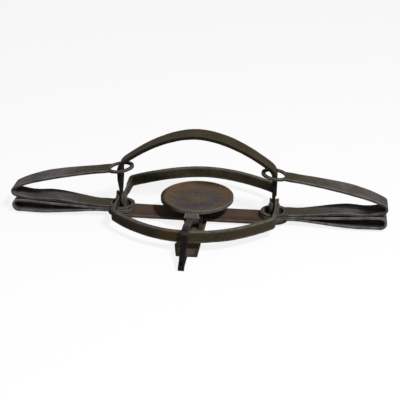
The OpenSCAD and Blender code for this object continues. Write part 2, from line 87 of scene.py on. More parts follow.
# Jaws and standing bow
PIVOT_Z = 28.01
JAW_THICKNESS = 6.2
JAW_LEG_THICKNESS = 5
BOW_LEG_THICKNESS = 7
JAW_CORNER = 1.1
BOW_CORNER = 1.8
BOW_DENT = 0.3
FOOT_THICKNESS = 2.8
FOOT_PITCH = 3.1
FOOT_REACH = 33
FOOT_TAPER = 7
FOOT_CORNER = 0.6
JAW_EYE_R = 11.5
BOW_EYE_R = 9
HINGE_BORE_R = 3.08
# Outlines: reach, X of the foot, half span, reach of the shoulder, power of the arch,
# length of the straight leg
FRONT_JAW = (125.5, POST_X + FOOT_PITCH, 126, 63, 2.1, 46)
BACK_JAW = (125.5, POST_X - FOOT_PITCH, 120.1, 73, 1.82, 46)
STANDING_BOW = (118, POST_X, 119.2, 66.5, 1.83, 56)
# Widths: at the foot, over the arch, and the reach from which it is full
JAW_WIDTHS = (12.8, 18.3, 63)
BOW_WIDTHS = (18, 33.8, 118)
# Cells across the wide and the narrow faces
JAW_CELLS = (7, 3)
BOW_CELLS = (18, 3)
# Ridge on the bow's legs: it starts over the posts and is no wider than the gap that the closed jaws leave.
RIDGE_START = 15
RIDGE_FULL = 19
RIDGE_SLOPE = 0.674
RIDGE_OFFSET = 10
RIDGE_PLATEAU = 0.75

# Springs
LEAF_THICKNESS = 3.2
LEAF_SWELL = 0.8
SWELL_LENGTH = 80
LEAF_EDGE = 0.7
LEAF_DENT = 0.3
LEAF_DENT_SIZE = 17
LEAF_SWAY = 0.5
EYE_R = 21.3
EYE_HOLE_R = 15.5
NECK_X = POST_X + EYE_R
NECK_WIDTH = 29
NECK_FILLET = 2
FILLET_LENGTH = 14
BELLY_X = 238
BELLY_WIDTH = 38.5
BEND_WIDTH = 33.5
BEND_FROM = 276
BEND_TO = 288
LOWER_BEND = Vector((286.9, 14))
LOWER_BEND_R = 8.4
UPPER_BEND = Vector((289.1, 37.8))
UPPER_BEND_R = 6.2
# Over this height a leaf keeps its full thickness up to its raised eye.
RAISED_FROM = 60
# Leaves: height and slope of the eye, pull there, turn at which the bend takes over, pull there
LOWER_BOTTOM_LEAF = (11.8, 0, 40, -90, 70)
LOWER_TOP_LEAF = (15.2, 0, 46, 86, 34)
UPPER_BOTTOM_LEAF = (19, 0, 40, -76, 52)
UPPER_TOP_LEAF = (81.5, 8, 64, 60, 37)
# Points that the upper springs' lower leaf passes: it swells up, dips and climbs into the bend.
MID_COURSE = (
    (156, 19.2), (170, 20.3), (195, 23.8), (213, 26.4), (230, 28.0),
    (245, 28.0), (259, 27.2), (270, 28.0), (280, 29.8),
)
# Painted shade of a spring: X from which its inside turns black, Y over which that fades at the front,
# and the shares on the bottom leaf's back border, on the sides and on the eyes
LOWER_PAINTED_SHADE = {"left": (165, (-16, -4), 0, 0.5, 0.45), "right": (165, (-17, -10), 0, 0.5, 0.45)}
UPPER_PAINTED_SHADE = {"left": (244, (-7, 5), 0.7, 0.8, 0.7), "right": (246, (-20, -13), 0.8, 0.8, 0.7)}

# Pan
PAN_R = 57.7
PAN_HEIGHT = 40
PAN_DEPTH = 6.5
PAN_SHEET = 2.2
PAN_FLOOR_R = 30
PAN_CURVE = 1.6
PAN_DENT = 0.16
PAN_DENT_SIZE = 11
PAN_RINGS = (0.6, *range(3, 46, 3), 47.5, 50, 52, 54, 55.5)
# Rim and lip: radius, height and share of wear
PAN_RIM = (
    (56.6, 39.75, 0.6), (57.2, 39.95, 1), (57.6, 39.6, 1), (57.7, 38.9, 0.8),
    (57.7, 37.6, 0.3), (57.7, 36.3, 0.3), (57.7, 34.9, 0.3), (57.55, 34.0, 1),
    (57.1, 33.7, 1), (56.2, 33.7, 0.8), (55.6, 34.2, 0.3), (55.4, 36.6, 0),
)
RIM_SWAY = 0.35
RIM_WAVE = 0.3

# Catch tab
TAB_COURSE = ((-56, 27), (-68, 27), (-69, 33), (-64.8, 38.5))
TAB_THICKNESS = 3
TAB_NECK_HALF = 4.5
TAB_FLARE_HALF = 12.25
TAB_TOP_HALF = 8.8
TAB_FLARE_FROM = 31.5
TAB_FLARE_Z = 33
TAB_TOP_Z = 41.5

# Dog and the knuckle that it turns on
DOG_X = -1.5
DOG_HINGE = Vector((-177, 4.6))
DOG_BEND = Vector((-134.5, 41.41))
DOG_NECK = Vector((-115.3, 41.41))
DOG_TIP = Vector((-71.3, 30.6))
DOG_THICKNESS = 5
DOG_FOOT_HALF = 4.3
DOG_BEND_HALF = 5.5
DOG_ARM_HALF = 4.5
DOG_EYE_R = 4.25
DOG_BORE_R = 1.88
DOG_DENT = 0.25
CHEEK_R = 7.4
CHEEK_GAP = 3.8
KNUCKLE_HALF = 1.6
KNUCKLE_BORE_R = 1.85
KNUCKLE_CHAMFER = 0.35
KNUCKLE_NECK_Y = (-168.0, -169.0, -171.0, -173.4)
KNUCKLE_NECK_HALF = (1.55, 2.3)

# Bevel of the solids that stay
LARGE_SOLIDS = ("left_jaw_post", "right_jaw_post", "pan_bracket", "pan_stem")
LARGE_BEVEL = 0.6
SMALL_BEVEL = 0.25

# Surroundings, in metres
FLOOR_SIZE = 12
FLOOR_DROP = 0.0003
FLOOR_GLOW = 0.85
WORLD_LIGHT = 0.30
LAMP_AT = Vector((1.04, -1.35, 1.99))
LAMP_AIM = Vector((0, 0, 0.03))
LAMP_SIZE = 0.36
LAMP_POWER = 62
CAMERA_AT = Vector((0.18559, -1.49134, 0.72403))
CAMERA_AIM = Vector((0.005195, -0.006482, 0.03483))
CAMERA_LENS = 94.25
CAMERA_SENSOR = 36
CAMERA_REACH = 50


def clamp(value, low, high):
    return min(max(value, low), high)


def ease(low, high, value):
    """Smooth step from 0 at low to 1 at high."""
    t = clamp((value - low) / (high - low), 0, 1)
    return t * t * (3 - 2 * t)


def along(low, high, value):
    """Straight step from 0 at low to 1 at high."""
    return clamp((value - low) / (high - low), 0, 1)


def lerp(a, b, t):
    return a + (b - a) * t


def dents(p, size):
    """Uneven hammered height at a point, about -1 to 1."""
    q = p / size
    return 0.65 * noise.noise(q) + 0.35 * noise.noise(q * 2.3 + Vector((7.1, 3.3, 5.7)))


def sway(at, span, row):
    """Slow wander along a bar, different in each row."""
    return noise.noise(Vector((at / span, row, 0)))


def resampled(path, step):
    """The path with points at an even distance."""
    out = [path[0].copy()]
    left = step
    for a, b in zip(path[:-1], path[1:]):
        span = (b - a).length
        while span > 0 and left <= span:
            a = a + (b - a) * (left / span)
            out.append(a.copy())
            span = (b - a).length
            left = step
        left -= span
    out.append(path[-1].copy())
    return out


def softened(path, rounds):
    """The path with its corners rounded by repeated averaging, its ends kept."""
    for _ in range(rounds):
        path = (
            [path[0]]
            + [(path[i - 1] + 2 * path[i] + path[i + 1]) / 4 for i in range(1, len(path) - 1)]
            + [path[-1]]
        )
    return path


def headings(path):
    """Unit direction at each point of a path."""
    last = len(path) - 1
    return [(path[min(i + 1, last)] - path[max(i - 1, 0)]).normalized() for i in range(last + 1)]


def rounded_end(r):
    """Steps round the end of a bar, from its tip: distance beyond the centre and half size."""
    turns = [math.radians(12 + 12 * i) for i in range(7)]
    return [(r * math.cos(turn), r * math.sin(turn)) for turn in turns]


def make(name, verts, faces, edge, material):
    """Object from points in millimetres, with its worn-edge share kept on the points."""
    mesh = bpy.data.meshes.new(name)
    mesh.from_pydata([v * MM for v in verts], [], faces)
    shares = mesh.attributes.new("edge", "FLOAT", "POINT")
    shares.data.foreach_set("value", edge)
    bm = bmesh.new()
    bm.from_mesh(mesh)
    bmesh.ops.recalc_face_normals(bm, faces=bm.faces)
    bm.to_mesh(mesh)
    bm.free()
    mesh.materials.append(material)
    piece = bpy.data.objects.new(name, mesh)
    bpy.context.scene.collection.objects.link(piece)
    return piece


def smooth(piece, angle=40):
    """Smooth shading, with edges over an angle left sharp."""
    piece.data.polygons.foreach_set("use_smooth", [True] * len(piece.data.polygons))
    piece.data.set_sharp_from_angle(angle=math.radians(angle))


def bevelled(piece, width, angle):
    """Rounds the edges that are sharper than an angle."""
    bevel = piece.modifiers.new("eased_edges", "BEVEL")
    bevel.width = width * MM
    bevel.segments = 2
    bevel.limit_method = "ANGLE"
    bevel.angle_limit = math.radians(angle)


def settle(piece):
    """Turns a piece's modifiers into its mesh."""
    bpy.context.view_layer.update()
    shape = piece.evaluated_get(bpy.context.evaluated_depsgraph_get())
    mesh = bpy.data.meshes.new_from_object(shape)
    old = piece.data
    piece.modifiers.clear()
    piece.data = mesh
    bpy.data.meshes.remove(old)


def drill(piece, holes):
    """Cuts round bores along X, given as centre, radius and length in millimetres."""
    cutters = []
    for centre, r, length in holes:
        bpy.ops.mesh.primitive_cylinder_add(
            vertices=48, radius=r * MM, depth=length * MM,
            location=centre * MM, rotation=(0, math.pi / 2, 0),
        )
        cutter = bpy.context.object
        cut = piece.modifiers.new("bore", "BOOLEAN")
        cut.operation = "DIFFERENCE"
        cut.solver = "EXACT"
        cut.object = cutter
        cutters.append(cutter)
    settle(piece)
    for cutter in cutters:
        bpy.data.objects.remove(cutter)


def mark(piece, name, share):
    """Raises a share on the points of a piece, from place in millimetres and outward direction."""
    mesh = piece.data
    layer = mesh.attributes.get(name) or mesh.attributes.new(name, "FLOAT", "POINT")
    for v in mesh.vertices:
        point = layer.data[v.index]
        point.value = clamp(max(point.value, share(v.co / MM, v.normal)), 0, 1)


def mark_border(piece):
    """Full edge share on the open border of a sheet."""
    bm = bmesh.new()
    bm.from_mesh(piece.data)
    share = bm.verts.layers.float["edge"]
    for v in bm.verts:
        v[share] = 1.0 if v.is_boundary else 0.0
    bm.to_mesh(piece.data)
    bm.free()


def section(half_a, half_b, r, cells_a, cells_b):
    """Points round a bar with rounded corners: place, outward direction and edge share."""
    corner_steps = 3
    signs = [(1, 1), (-1, 1), (-1, -1), (1, -1)]
    ring = []
    for k, (sa, sb) in enumerate(signs):
        ca, cb = sa * (half_a - r), sb * (half_b - r)
        for i in range(corner_steps + 1):
            turn = math.radians(90 * (k + i / corner_steps))
            na, nb = math.cos(turn), math.sin(turn)
            ring.append((ca + r * na, cb + r * nb, na, nb, 1))
        ta, tb = signs[(k + 1) % 4]
        ea, eb = ta * (half_a - r), tb * (half_b - r)
        na, nb = math.cos(math.radians(90 * (k + 1))), math.sin(math.radians(90 * (k + 1)))
        cells = cells_a if k % 2 == 0 else cells_b
        for i in range(1, cells):
            t = i / cells
            ring.append((lerp(ca, ea, t) + r * na, lerp(cb, eb, t) + r * nb, na, nb, 0))
    return ring


def forged_bar(name, stations, cells, material, dent_size=15, lowest=None, crowns=None):
    """Bar through stations of centre, two directions, two half sizes, corner radius and dent depth.

    A station can have a crown: the height and half width of a ridge along the middle of its wide faces.
    """
    verts, faces, edge = [], [], []
    count = 0
    for i, (centre, a, b, half_a, half_b, r, depth) in enumerate(stations):
        ring = section(half_a, half_b, min(r, 0.9 * half_a, 0.9 * half_b), *cells)
        count = len(ring)
        crown, ridge = crowns[i] if crowns else (0, 1)
        for pa, pb, na, nb, share in ring:
            pb *= 1 + crown / half_b * (1 - ease(RIDGE_PLATEAU * ridge, ridge, abs(pa)))
            p = centre + a * pa + b * pb
            p = p + (a * na + b * nb) * (depth * dents(p, dent_size))
            if lowest is not None:
                p.z = max(p.z, lowest)
            verts.append(p)
            edge.append(share)
    for i in range(len(stations) - 1):
        for j in range(count):
            k = (j + 1) % count
            faces.append((i * count + j, i * count + k, (i + 1) * count + k, (i + 1) * count + j))
    faces.append(tuple(range(count)))
    last = (len(stations) - 1) * count
    faces.append(tuple(range(last, last + count)))
    return make(name, verts, faces, edge, material)


def turned_faces(count, n, closed):
    """Faces of a profile of n points that is turned in count steps."""
    faces = []
    for j in range(count):
        k = (j + 1) % count
        for i in range(n if closed else n - 1):
            m = (i + 1) % n
            faces.append((j * n + i, j * n + m, k * n + m, k * n + i))
    return faces


def place(piece, body, slot, *nodes):
    """A piece that rides on a body and stands for CAD nodes, which it hides. The slot is not used."""
    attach(piece, body)
    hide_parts(*nodes)


# Materials, with their places in metres
# Near-black of the pits, and of the painted shade that the pieces keep on their points.
PIT_AND_SHADE_BLACK = (0.0060, 0.0048, 0.0042)
SPECULAR = 0.035
RELIEF_STRENGTH = 0.5
RELIEF_DEPTH = 0.0007


def shader(name):
    material = bpy.data.materials.new(name)
    material.use_nodes = True
    tree = material.node_tree
    return material, tree, tree.nodes["Principled BSDF"]


def feed(tree, socket, value):
    """Sets a socket, or links it where the value is a socket too."""
    if isinstance(value, bpy.types.NodeSocket):
        tree.links.new(value, socket)
    else:
        socket.default_value = value


def add(tree, kind, **inputs):
    """Node with some of its inputs set or linked."""
    made = tree.nodes.new(kind)
    for key, value in inputs.items():
        feed(tree, made.inputs[key.replace("_", " ")], value)
    return made


def speckle(tree, spot, scale, detail, roughness):
    made = add(tree, "ShaderNodeTexNoise", Vector=spot, Scale=scale, Detail=detail, Roughness=roughness)
    return made.outputs["Fac"]


def spread(tree, value, low, high, to_low, to_high):
    """Value taken from one range to another, kept inside it."""
    made = add(
        tree, "ShaderNodeMapRange", Value=value, From_Min=low, From_Max=high, To_Min=to_low, To_Max=to_high
    )
    return made.outputs["Result"]


def maths(tree, operation, a, b):
    made = tree.nodes.new("ShaderNodeMath")
    made.operation = operation
    for socket, value in zip(made.inputs, (a, b)):
        feed(tree, socket, value)
    return made.outputs[0]


def times(tree, a, b):
    return maths(tree, "MULTIPLY", a, b)


def colour_mix(tree, share, a, b):
    """Colour a, and b by a share."""
    made = tree.nodes.new("ShaderNodeMix")
    made.data_type = "RGBA"
    for key, value in (("Factor_Float", share), ("A_Color", a), ("B_Color", b)):
        socket = next(s for s in made.inputs if s.identifier == key)
        feed(tree, socket, (*value, 1) if isinstance(value, tuple) else value)
    return next(s for s in made.outputs if s.identifier == "Result_Color")


def stored(tree, name):
    """Share that a mesh keeps on its points."""
    made = tree.nodes.new("ShaderNodeAttribute")
    made.attribute_name = name
    return made.outputs["Fac"]


def axes(tree, spot):
    """X, Y and Z of a place."""
    parts = add(tree, "ShaderNodeSeparateXYZ", Vector=spot)
    return parts.outputs["X"], parts.outputs["Y"], parts.outputs["Z"]


def distance(tree, spot, centre):
    made = add(tree, "ShaderNodeVectorMath", Vector=spot)
    made.operation = "DISTANCE"
    made.inputs[1].default_value = centre
    return made.outputs["Value"]


def iron(name, dark, main, tint, rust, worn_and_lit_colour, rust_share, wear_share, rough, shade=None):
    """Old iron: scale in two hues, rust in blotches, drawn streaks, pits, paler worn edges, paler jaw tops
    partly as painted light, and painted shade.
    """
    material, tree, bsdf = shader(name)
    spot = tree.nodes.new("ShaderNodeTexCoord").outputs["Object"]
    broad = speckle(tree, spot, 26, 4, 0.6)
    moved = add(tree, "ShaderNodeMapping", Vector=spot, Location=(0.37, 0.11, 0.53))
    patch = speckle(tree, moved.outputs["Vector"], 34, 3, 0.55)
    blotch = speckle(tree, spot, 90, 5, 0.65)
    fine = speckle(tree, spot, 620, 3, 0.7)
    drawn = add(tree, "ShaderNodeMapping", Vector=spot, Scale=(0.12, 1, 1))
    streak = speckle(tree, drawn.outputs["Vector"], 380, 3, 0.6)
    pit = spread(tree, speckle(tree, spot, 300, 2, 0.5), 0.60, 0.72, 0.0, 1.0)

    body = colour_mix(tree, spread(tree, broad, 0.38, 0.62, 0.0, 1.0), dark, main)
    body = colour_mix(tree, spread(tree, patch, 0.48, 0.60, 0.0, 0.85), body, tint)
    if shade is not None:
        body = shade(tree, spot, body)
    rusted = colour_mix(tree, spread(tree, blotch, 0.52, 0.64, 0.0, rust_share), body, rust)
    grain = times(tree, spread(tree, fine, 0.3, 0.7, 0.70, 1.30), spread(tree, streak, 0.3, 0.7, 0.80, 1.20))
    grained = add(tree, "ShaderNodeHueSaturation", Color=rusted, Value=grain)
    pitted = colour_mix(tree, times(tree, pit, 0.5), grained.outputs["Color"], PIT_AND_SHADE_BLACK)
    # Paler by the edge share kept on the points: rubbed wear, and on the jaws' tops partly painted light.
    wear_and_light = times(tree, stored(tree, "edge"), spread(tree, blotch, 0.34, 0.6, 0.25, wear_share))
    worn_and_lit = colour_mix(tree, wear_and_light, pitted, worn_and_lit_colour)
    # Nearly black by the share kept on the points: painted shade, and on the dog's foot and the tongue partly
    # dark iron.
    shade_and_black_share = times(tree, stored(tree, "painted_shade_and_black"), spread(tree, blotch, 0.35, 0.65, 1.0, 0.85))
    tree.links.new(colour_mix(tree, shade_and_black_share, worn_and_lit, PIT_AND_SHADE_BLACK), bsdf.inputs["Base Color"])

    worn_rough = spread(tree, blotch, 0.3, 0.7, rough[0], rough[1])
    darkened_rough = maths(tree, "ADD", worn_rough, times(tree, shade_and_black_share, 0.2))
    tree.links.new(darkened_rough, bsdf.inputs["Roughness"])
    bsdf.inputs["Specular IOR Level"].default_value = SPECULAR
    height = maths(tree, "ADD", times(tree, blotch, 0.7), times(tree, fine, 0.3))
    sunk = maths(tree, "SUBTRACT", height, times(tree, pit, 0.25))
    relief = add(tree, "ShaderNodeBump", Height=sunk, Strength=RELIEF_STRENGTH, Distance=RELIEF_DEPTH)
    tree.links.new(relief.outputs["Normal"], bsdf.inputs["Normal"])
    return material


def pan_shade(tree, spot, body):
    """Olive spot in the pan's middle, plum round it, brown slopes and a grey lip."""
    olive, brown, grey = (0.094, 0.074, 0.040), (0.108, 0.068, 0.040), (0.082, 0.071, 0.060)
    flat = add(tree, "ShaderNodeVectorMath", Vector=spot)
    flat.operation = "MULTIPLY"
    flat.inputs[1].default_value = (1, 1, 0)
    on_pan = flat.outputs["Vector"]
    middle = spread(tree, distance(tree, on_pan, (0, 0, 0)), 0.008, 0.022, 0.75, 0.0)
    slope = spread(tree, distance(tree, on_pan, (0, -0.006, 0)), 0.032, 0.047, 0.0, 0.85)
    front = spread(tree, distance(tree, on_pan, (0, 0.0095, 0)), 0.0540, 0.0580, 0.0, 0.85)
    spotted = colour_mix(tree, middle, body, olive)
    return colour_mix(tree, front, colour_mix(tree, slope, spotted, brown), grey)


def spring_shade(tree, spot, body):
    """Olive towards the eyes of a spring, deeper at a raised one."""
    low_olive, raised_olive = (0.044, 0.038, 0.023), (0.028, 0.027, 0.009)
    x, _, z = axes(tree, spot)
    near_eye = spread(tree, maths(tree, "ABSOLUTE", x, 0.0), 0.150, 0.215, 0.9, 0.0)
    raised = spread(tree, z, 0.040, 0.060, 0.0, 1.0)
    return colour_mix(tree, near_eye, body, colour_mix(tree, raised, low_olive, raised_olive))


def bar_shade(tree, spot, body):
    """Olive on the base bar's pads and the cross bar's front, darker along the base bar's front half."""
    pad_olive, painted_shadow = (0.060, 0.052, 0.036), (0.040, 0.029, 0.021)
    # The paler olive on the left of the cross bar's front is partly its own olive, partly painted light where
    # the dog's shadow falls.
    front_brown, painted_light_olive = (0.070, 0.056, 0.042), (0.105, 0.098, 0.074)
    x, y, _ = axes(tree, spot)
    pad = spread(tree, maths(tree, "ABSOLUTE", x, 0.0), 0.112, 0.124, 0.0, 0.85)
    before_middle = spread(tree, y, -0.002, -0.016, 0.0, 1.0)
    on_base = spread(tree, y, -0.024, -0.0225, 0.0, 1.0)
    to_right = spread(tree, x, 0.030, 0.070, 0.5, 0.85)
    # The darker front half of the base bar is painted shadow, strongest to the right under the pan.
    front_half = times(tree, times(tree, before_middle, on_base), to_right)
    front = spread(tree, y, -0.080, -0.100, 0.0, 1.0)
    left = spread(tree, x, -0.012, -0.004, 0.9, 0.0)
    body = colour_mix(tree, pad, body, pad_olive)
    body = colour_mix(tree, front_half, body, painted_shadow)
    body = colour_mix(tree, times(tree, front, 0.6), body, front_brown)
    return colour_mix(tree, times(tree, front, left), body, painted_light_olive)


def bracket_painted_shadow(tree, spot, body):
    """Nearly black towards the pan: painted shadow."""
    _, _, z = axes(tree, spot)
    return colour_mix(tree, spread(tree, z, 0.013, 0.021, 0.0, 0.85), body, PIT_AND_SHADE_BLACK)


def dog_shadow_and_black(tree, spot, body):
    """Nearly black below the dog's bend and over the jaw, grey along its arm."""
    black = (0.0085, 0.0070, 0.0068)
    _, y, _ = axes(tree, spot)
    # Over the jaw the black is painted shadow; below the bend it is partly dark iron, partly painted shade.
    below = spread(tree, y, -0.1395, -0.1415, 0.0, 1.0)
    bend = spread(tree, y, -0.1375, -0.1355, 0.0, 0.8)
    before_arm = spread(tree, y, -0.1225, -0.1185, 1.0, 0.0)
    over_jaw = spread(tree, y, -0.1225, -0.1185, 0.45, 0.0)
    over = maths(tree, "MAXIMUM", over_jaw, times(tree, bend, before_arm))
    return colour_mix(tree, maths(tree, "MAXIMUM", below, over), body, black)


def jaw_shade(tree, spot, body):
    """Browner along the right of the front jaw, with an orange patch left of the dog."""
    brown, orange = (0.054, 0.045, 0.026), (0.078, 0.044, 0.018)
    x, y, _ = axes(tree, spot)
    front = spread(tree, y, -0.030, -0.060, 0.0, 1.0)
    right = times(tree, front, spread(tree, x, 0.005, 0.060, 0.0, 0.6))
    start = spread(tree, x, -0.055, -0.035, 0.0, 0.6)
    patch = times(tree, start, spread(tree, x, -0.022, -0.010, 1.0, 0.0))
    body = colour_mix(tree, right, body, brown)
    return colour_mix(tree, times(tree, patch, front), body, orange)


jaw_iron = iron(
    "jaw_iron", dark=(0.026, 0.023, 0.015), main=(0.052, 0.044, 0.024), tint=(0.040, 0.037, 0.028),
    rust=(0.077, 0.039, 0.017), worn_and_lit_colour=(0.150, 0.140, 0.118), rust_share=0.55, wear_share=0.80,
    rough=(0.55, 0.80), shade=jaw_shade,
)
bow_iron = iron(
    "bow_iron", dark=(0.024, 0.022, 0.011), main=(0.040, 0.036, 0.018), tint=(0.048, 0.031, 0.021),
    rust=(0.082, 0.035, 0.024), worn_and_lit_colour=(0.082, 0.076, 0.058), rust_share=0.60, wear_share=0.50,
    rough=(0.55, 0.80),
)
spring_iron = iron(
    "spring_iron", dark=(0.058, 0.051, 0.049), main=(0.098, 0.089, 0.087), tint=(0.064, 0.054, 0.042),
    rust=(0.085, 0.055, 0.038), worn_and_lit_colour=(0.225, 0.212, 0.200), rust_share=0.35, wear_share=0.85,
    rough=(0.45, 0.72), shade=spring_shade,
)
bar_iron = iron(
    "bar_iron", dark=(0.056, 0.038, 0.029), main=(0.092, 0.060, 0.042), tint=(0.076, 0.056, 0.047),
    rust=(0.120, 0.056, 0.028), worn_and_lit_colour=(0.140, 0.108, 0.086), rust_share=0.50, wear_share=0.50,
    rough=(0.60, 0.85), shade=bar_shade,
)
pan_iron = iron(
    "pan_iron", dark=(0.050, 0.045, 0.052), main=(0.070, 0.061, 0.060), tint=(0.072, 0.058, 0.044),
    rust=(0.104, 0.060, 0.037), worn_and_lit_colour=(0.180, 0.166, 0.148), rust_share=0.32, wear_share=0.70,
    rough=(0.45, 0.75), shade=pan_shade,
)
catch_iron = iron(
    "catch_iron", dark=(0.074, 0.065, 0.058), main=(0.116, 0.103, 0.092), tint=(0.086, 0.072, 0.060),
    rust=(0.090, 0.060, 0.042), worn_and_lit_colour=(0.200, 0.185, 0.165), rust_share=0.30, wear_share=0.70,
    rough=(0.45, 0.75),
)
dog_iron = iron(
    "dog_iron", dark=(0.034, 0.028, 0.025), main=(0.056, 0.047, 0.041), tint=(0.040, 0.034, 0.030),
    rust=(0.052, 0.036, 0.026), worn_and_lit_colour=(0.055, 0.050, 0.045), rust_share=0.30, wear_share=0.30,
    rough=(0.50, 0.75), shade=dog_shadow_and_black,
)
post_iron = iron(
    "post_iron", dark=(0.060, 0.055, 0.051), main=(0.125, 0.116, 0.108), tint=(0.080, 0.070, 0.060),
    rust=(0.085, 0.055, 0.038), worn_and_lit_colour=(0.190, 0.180, 0.165), rust_share=0.35, wear_share=0.60,
    rough=(0.45, 0.75),
)
bracket_iron = iron(
    "bracket_iron", dark=(0.034, 0.025, 0.020), main=(0.066, 0.046, 0.036), tint=(0.050, 0.040, 0.034),
    rust=(0.080, 0.042, 0.026), worn_and_lit_colour=(0.080, 0.070, 0.060), rust_share=0.40, wear_share=0.40,
    rough=(0.60, 0.85), shade=bracket_painted_shadow,
)


# Jaws and standing bow
def bow_line(reach, foot_x, half_span, shoulder, power, straight):
    """Middle line of a bow as points of X and reach, from its left foot to its right one."""
    rise = reach - shoulder
    steps = 90
    half = []
    for i in range(steps + 1):
        u = i / steps
        fall = rise * power * u ** (power - 1) / half_span
        outward = Vector((fall, 1)).normalized()
        half.append(Vector((half_span * u, reach - rise * u ** power)) - outward * (JAW_THICKNESS / 2))
    half += [Vector((foot_x, straight)), Vector((foot_x, 0))]
    half = softened(resampled(half, 1.6), 8)
    return [Vector((-p.x, p.y)) for p in reversed(half[1:])] + half


def bow(name, shape, widths, foot_r, leg, out, wide, corner, cells, ridged, material):
    """Jaw or standing bow, with its reach along one direction and its width along another."""
    reach, foot_x, half_span, shoulder, power, straight = shape
    foot_width, arch_width, full_at = widths
    line = bow_line(reach - BOW_DENT, foot_x, half_span, shoulder, power, straight)
    origin = Z * PIVOT_Z
    foot_half = FOOT_THICKNESS / 2
    ends = rounded_end(foot_r)
    stations = []
    for beyond, half in ends:
        stations.append((origin - X * foot_x - out * beyond, wide, X, half, foot_half, FOOT_CORNER, 0))
    crowns = [(0, 1)] * len(ends)
    for p, h in zip(line, headings(line)):
        thick = lerp(FOOT_THICKNESS, leg, along(FOOT_REACH, FOOT_REACH + FOOT_TAPER, p.y))
        half_b = lerp(thick, JAW_THICKNESS, along(straight, shoulder, p.y)) / 2
        half_a = lerp(foot_width, arch_width, along(0, full_at, p.y)) / 2
        half_a = max(half_a, math.sqrt(max(foot_r ** 2 - p.y ** 2, 0)))
        crown = (leg - thick) / 2 * ease(RIDGE_START, RIDGE_FULL, p.y) if ridged else 0
        crowns.append((crown, max(RIDGE_SLOPE * p.y - RIDGE_OFFSET, 0.1)))
        free = ease(straight, straight + 20, p.y)
        spot = origin + X * p.x + out * p.y
        half_a *= 1 + 0.025 * free * noise.noise(spot / 34)
        side = X * h.y - out * h.x
        stations.append((spot, wide, side, half_a, half_b, lerp(FOOT_CORNER, corner, free), BOW_DENT * free))
    for beyond, half in reversed(ends):
        stations.append((origin + X * foot_x - out * beyond, wide, -X, half, foot_half, FOOT_CORNER, 0))
    crowns += [(0, 1)] * len(ends)
    piece = forged_bar(name, stations, cells, material, crowns=crowns)
    bore_length = FOOT_THICKNESS + 4
    drill(piece, [(origin + X * (side * foot_x), HINGE_BORE_R, bore_length) for side in (-1, 1)])
    smooth(piece)
    return piece


def jaw_front_shade(p, n):
    """Darker on the faces that look forward: painted shade."""
    return 0.25 * ease(0.4, 0.9, -n.y)


def jaw_top_wear_and_light(p, n):
    """Paler on top, most along the back jaw: partly rubbed wear, partly painted light on the top faces."""
    place_share = lerp(0.45, 0.85, ease(-40, 10, p.x)) if p.y < 0 else 1.2
    return 0.85 * place_share * ease(0.6, 0.9, n.z) * (0.75 + 0.6 * noise.noise(p / 23))


def bow_painted_shade(p, n):
    """Painted shade: black legs, dark underside and dark front and back edges."""
    leg = 0.75 * (1 - ease(46, 66, p.z - PIVOT_Z))
    return max(leg, 0.7 * ease(0.1, 0.6, -n.z), 0.85 * ease(0.35, 0.75, abs(n.y)))


front_jaw = bow(
    "front_jaw_forged", FRONT_JAW, JAW_WIDTHS, foot_r=JAW_EYE_R, leg=JAW_LEG_THICKNESS, out=-Y, wide=Z,
    corner=JAW_CORNER, cells=JAW_CELLS, ridged=False, material=jaw_iron,
)
mark(front_jaw, "painted_shade_and_black", jaw_front_shade)
mark(front_jaw, "edge", jaw_top_wear_and_light)
place(front_jaw, "front_jaw", "forged_iron", "front_jaw")
back_jaw = bow(
    "back_jaw_forged", BACK_JAW, JAW_WIDTHS, foot_r=JAW_EYE_R, leg=JAW_LEG_THICKNESS, out=Y, wide=Z,
    corner=JAW_CORNER, cells=JAW_CELLS, ridged=False, material=jaw_iron,
)
mark(back_jaw, "edge", jaw_top_wear_and_light)
place(back_jaw, "back_jaw", "forged_iron", "back_jaw")
standing_bow = bow(
    "standing_bow_forged", STANDING_BOW, BOW_WIDTHS, foot_r=BOW_EYE_R, leg=BOW_LEG_THICKNESS, out=Z, wide=Y,
    corner=BOW_CORNER, cells=BOW_CELLS, ridged=True, material=bow_iron,
)
mark(standing_bow, "painted_shade_and_black", bow_painted_shade)
place(standing_bow, "standing_bow", "forged_iron", "standing_bow")


# Springs
def on_bend(bend, r, turn):
    """Point on a spring's bend, at a turn in degrees."""
    return bend + r * Vector((math.cos(math.radians(turn)), math.sin(math.radians(turn))))


def leaf_curve(leaf, bend, r, way):
    """Control points of a leaf's middle line, from its neck to where it turns into the bend."""
    eye_z, slope, eye_pull, turn, pull = leaf
    slope = math.radians(slope)
    start = Vector((NECK_X, eye_z - EYE_R * math.tan(slope)))
    end = on_bend(bend, r, turn)
    inward = way * Vector((math.sin(math.radians(turn)), -math.cos(math.radians(turn))))
    outward = Vector((math.cos(slope), -math.sin(slope)))
    return [start, start + eye_pull * outward, end + pull * inward, end]


def on_curve(c, t):
    u = 1 - t
    return u ** 3 * c[0] + 3 * t * u * u * c[1] + 3 * t * t * u * c[2] + t ** 3 * c[3]


def through(points, steps):
    """Smooth line through points, with even steps on each stretch."""
    ends = [2 * points[0] - points[1], *points, 2 * points[-1] - points[-2]]
    out = []
    for a, b, c, d in zip(ends, ends[1:], ends[2:], ends[3:]):
        for i in range(steps):
            t = i / steps
            bent = (2 * a - 5 * b + 4 * c - d) * (t * t) + (3 * b - a - 3 * c + d) * t ** 3
            out.append(b + ((c - a) * t + bent) / 2)
    return out


def leaf_width(x):
    if x < BELLY_X:
        fillet = NECK_FILLET * (1 - ease(NECK_X, NECK_X + FILLET_LENGTH, x))
        return fillet + lerp(NECK_WIDTH, BELLY_WIDTH, along(NECK_X + EYE_R, BELLY_X, x))
    return lerp(BELLY_WIDTH, BEND_WIDTH, ease(BELLY_X, LOWER_BEND.x, x))


